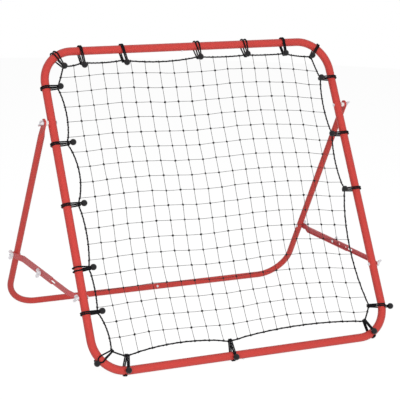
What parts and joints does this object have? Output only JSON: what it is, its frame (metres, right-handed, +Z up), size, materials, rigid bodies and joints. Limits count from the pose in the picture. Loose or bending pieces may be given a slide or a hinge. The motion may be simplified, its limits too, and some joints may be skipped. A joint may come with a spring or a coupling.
{
  "type": "pitch back rebounder",
  "caption": "Free-standing ball rebounder: a leaning square tube frame with a bungee-hung net, a hinged U-shaped rear leg and a telescopic locking strut on each side.",
  "frame": {"origin": "on the ground, under the middle of the whole stand", "axes": "+X to the right across the width, -Y out of the net's face towards the player, +Z up"},
  "size_m": [1.0774, 0.7666, 0.8823],
  "materials": {
    "red_tube": "gloss powder coat",
    "red_strut": "satin powder coat",
    "zinc_nut": "bright zinc",
    "zinc_bolt": "bright zinc",
    "spacer": "moulded nylon",
    "net_twine": "braided polyester twine",
    "border_rope": "braided rope",
    "bungee_cord": "braided elastic cord",
    "bungee_ball": "moulded, low gloss"
  },
  "bodies": {
    "main_frame": {"frame_half_left": "red_tube", "frame_half_right": "red_tube", "frame_joint_screws": "zinc_bolt", "net": "net_twine", "border_rope": "border_rope", "bungee_top_left_corner": "bungee_cord", "bungee_top_1": "bungee_cord", "bungee_top_2": "bungee_cord", "bungee_top_3": "bungee_cord", "bungee_top_4": "bungee_cord", "bungee_top_5": "bungee_cord", "bungee_top_right_corner": "bungee_cord", "bungee_left_1": "bungee_cord", "bungee_left_2": "bungee_cord", "bungee_left_3": "bungee_cord", "bungee_left_4": "bungee_cord", "bungee_left_5": "bungee_cord", "bungee_bottom_left_corner": "bungee_cord", "bungee_bottom_1": "bungee_cord", "bungee_bottom_2": "bungee_cord", "bungee_bottom_right_corner": "bungee_cord", "bungee_right_1": "bungee_cord", "bungee_right_2": "bungee_cord", "bungee_right_3": "bungee_cord", "bungee_right_4": "bungee_cord", "bungee_balls_top": "bungee_ball", "bungee_balls_left": "bungee_ball", "bungee_balls_bottom": "bungee_ball", "bungee_balls_right": "bungee_ball", "pivot_bolt_left": "zinc_bolt", "pivot_bolt_right": "zinc_bolt", "pivot_spacer_left": "spacer", "pivot_spacer_right": "spacer", "frame_strut_bolt_left": "zinc_bolt", "frame_strut_bolt_right": "zinc_bolt"},
    "rear_leg": {"leg_half_left": "red_tube", "leg_half_right": "red_tube", "leg_joint_screw": "zinc_bolt", "leg_strut_bolt_left": "zinc_bolt", "leg_strut_bolt_right": "zinc_bolt"},
    "strut_front_left": {"strut_front_left": "red_strut"},
    "strut_rear_left": {"strut_rear_left": "red_strut", "strut_mid_bolt_left": "zinc_bolt"},
    "wing_nut_pivot_left": {"wing_nut_pivot_left": "zinc_nut"},
    "wing_nut_frame_left": {"wing_nut_frame_left": "zinc_nut"},
    "wing_nut_leg_left": {"wing_nut_leg_left": "zinc_nut"},
    "wing_nut_mid_left": {"wing_nut_mid_left": "zinc_nut"},
    "strut_front_right": {"strut_front_right": "red_strut"},
    "strut_rear_right": {"strut_rear_right": "red_strut", "strut_mid_bolt_right": "zinc_bolt"},
    "wing_nut_pivot_right": {"wing_nut_pivot_right": "zinc_nut"},
    "wing_nut_frame_right": {"wing_nut_frame_right": "zinc_nut"},
    "wing_nut_leg_right": {"wing_nut_leg_right": "zinc_nut"},
    "wing_nut_mid_right": {"wing_nut_mid_right": "zinc_nut"}
  },
  "joints": [
    {"name": "leg_fold", "type": "hinge", "parent": "main_frame", "child": "rear_leg", "pos_m": [0, 0.02056, 0.67412], "axis": [1, 0, 0], "range_deg": [-14.34, 0]},
    {"name": "strut_front_swing_left", "type": "hinge", "parent": "main_frame", "child": "strut_front_left", "pos_m": [-0.501, -0.24043, 0.21283], "axis": [1, 0, 0], "range_deg": [-7.18, 0.01]},
    {"name": "strut_rear_swing_left", "type": "hinge", "parent": "rear_leg", "child": "strut_rear_left", "pos_m": [-0.523, 0.26919, 0.20606], "axis": [1, 0, 0], "range_deg": [-0.01, 7.18]},
    {"name": "strut_front_swing_right", "type": "hinge", "parent": "main_frame", "child": "strut_front_right", "pos_m": [0.501, -0.24043, 0.21283], "axis": [1, 0, 0], "range_deg": [-7.18, 0.01]},
    {"name": "strut_rear_swing_right", "type": "hinge", "parent": "rear_leg", "child": "strut_rear_right", "pos_m": [0.523, 0.26919, 0.20606], "axis": [1, 0, 0], "range_deg": [-0.01, 7.18]},
    {"name": "wing_nut_pivot_turn_left", "type": "hinge", "parent": "main_frame", "child": "wing_nut_pivot_left", "pos_m": [-0.519, 0.02056, 0.67412], "axis": [-1, 0, 0], "continuous": true},
    {"name": "wing_nut_frame_turn_left", "type": "hinge", "parent": "main_frame", "child": "wing_nut_frame_left", "pos_m": [-0.506, -0.24043, 0.21283], "axis": [-1, 0, 0], "continuous": true},
    {"name": "wing_nut_leg_turn_left", "type": "hinge", "parent": "rear_leg", "child": "wing_nut_leg_left", "pos_m": [-0.528, 0.26919, 0.20606], "axis": [-1, 0, 0], "continuous": true},
    {"name": "wing_nut_mid_turn_left", "type": "hinge", "parent": "strut_rear_left", "child": "wing_nut_mid_left", "pos_m": [-0.519, 0.04421, 0.20905], "axis": [-1, 0, 0], "continuous": true},
    {"name": "wing_nut_pivot_turn_right", "type": "hinge", "parent": "main_frame", "child": "wing_nut_pivot_right", "pos_m": [0.519, 0.02056, 0.67412], "axis": [1, 0, 0], "continuous": true},
    {"name": "wing_nut_frame_turn_right", "type": "hinge", "parent": "main_frame", "child": "wing_nut_frame_right", "pos_m": [0.506, -0.24043, 0.21283], "axis": [1, 0, 0], "continuous": true},
    {"name": "wing_nut_leg_turn_right", "type": "hinge", "parent": "rear_leg", "child": "wing_nut_leg_right", "pos_m": [0.528, 0.26919, 0.20606], "axis": [1, 0, 0], "continuous": true},
    {"name": "wing_nut_mid_turn_right", "type": "hinge", "parent": "strut_rear_right", "child": "wing_nut_mid_right", "pos_m": [0.519, 0.04421, 0.20905], "axis": [1, 0, 0], "continuous": true}
  ],
  "couplings": [
    {"joint": "strut_front_swing_left", "follows": "leg_fold", "ratio": 0.5},
    {"joint": "strut_rear_swing_left", "follows": "leg_fold", "ratio": -0.5},
    {"joint": "strut_front_swing_right", "follows": "leg_fold", "ratio": 0.5},
    {"joint": "strut_rear_swing_right", "follows": "leg_fold", "ratio": -0.5}
  ]
}
